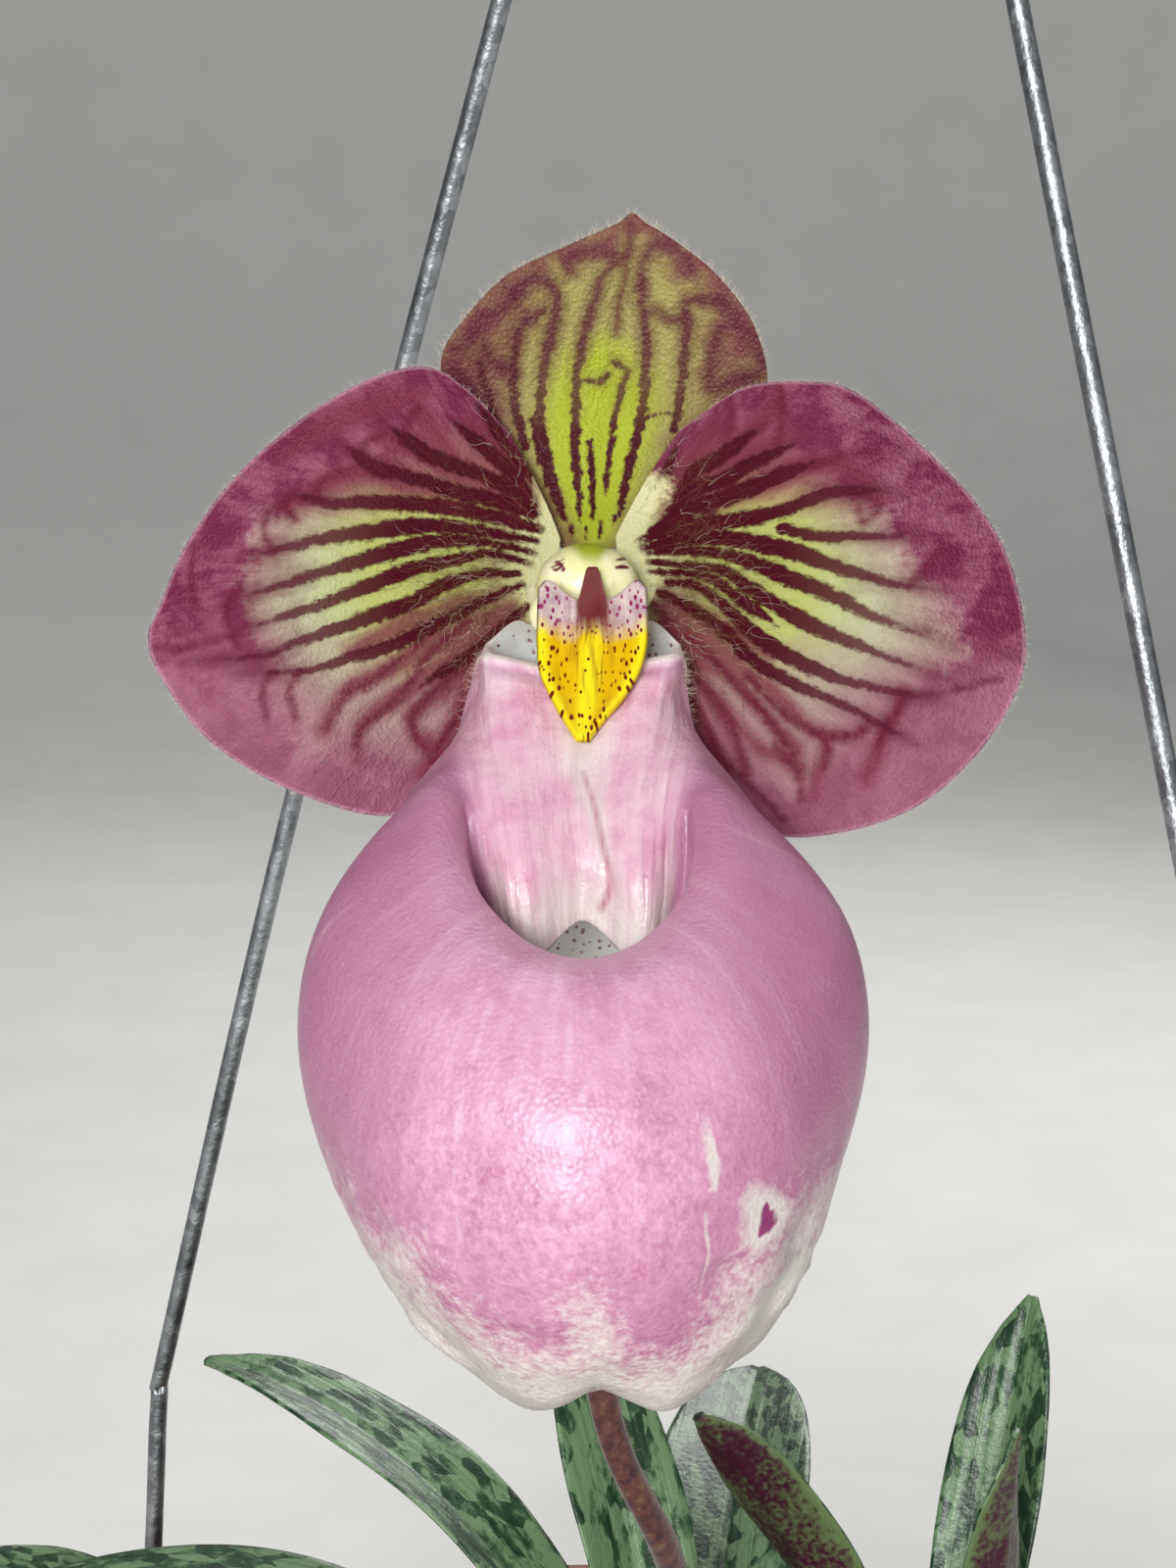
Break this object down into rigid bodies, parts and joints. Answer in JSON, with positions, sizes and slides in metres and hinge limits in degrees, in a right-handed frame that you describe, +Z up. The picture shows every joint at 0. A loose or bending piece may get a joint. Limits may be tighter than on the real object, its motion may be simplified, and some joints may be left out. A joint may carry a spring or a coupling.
{
  "type": "potted slipper orchid",
  "caption": "Slipper orchid with striped petals, an inflated pink pouch and mottled strap leaves, in a round pot that hangs on a two-wire hanger with a hook.",
  "frame": {"origin": "centre of the pot's flat base", "axes": "+Z up to the hanger's hook, -Y the side the flower faces, +X to its right as seen from the front"},
  "size_m": [0.196, 0.1878, 0.462],
  "materials": {
    "pot_plastic": "matte moulded polypropylene, terracotta brown",
    "bark": "rough conifer bark chips",
    "galvanised_wire": "dull galvanised steel wire",
    "leaf": "satin leaf, mottled dark and grey green above, purple below",
    "scape": "dark purple-brown stem with fine hairs",
    "bract": "green bract flushed with purple",
    "petal": "soft satin petal, maroon stripes on yellow-green, purple rim",
    "sepal": "satin sepal, yellow-green with maroon stripes and net",
    "column": "glossy green-white with maroon dashes",
    "staminode": "waxy bright yellow, white above, with maroon specks",
    "pouch": "satin mauve pink, paler veins, white mottled foot"
  },
  "bodies": {
    "root": {"bract": "bract", "column": "column", "crown_main": "leaf", "crown_side": "leaf", "crown_young": "leaf", "dorsal_sepal": "sepal", "hanger_wire_left": "galvanised_wire", "hanger_wire_right": "galvanised_wire", "leaf_main_1": "leaf", "leaf_main_2": "leaf", "leaf_main_3": "leaf", "leaf_main_4": "leaf", "leaf_main_5": "leaf", "leaf_side_1": "leaf", "leaf_side_2": "leaf", "leaf_side_3": "leaf", "leaf_side_4": "leaf", "leaf_young_1": "leaf", "leaf_young_2": "leaf", "leaf_young_3": "leaf", "ovary": "scape", "petal_left": "petal", "petal_right": "petal", "pot": "pot_plastic", "potting_mix": "bark", "pouch": "pouch", "scape": "scape", "staminode": "staminode", "synsepal": "sepal"}
  },
  "joints": []
}
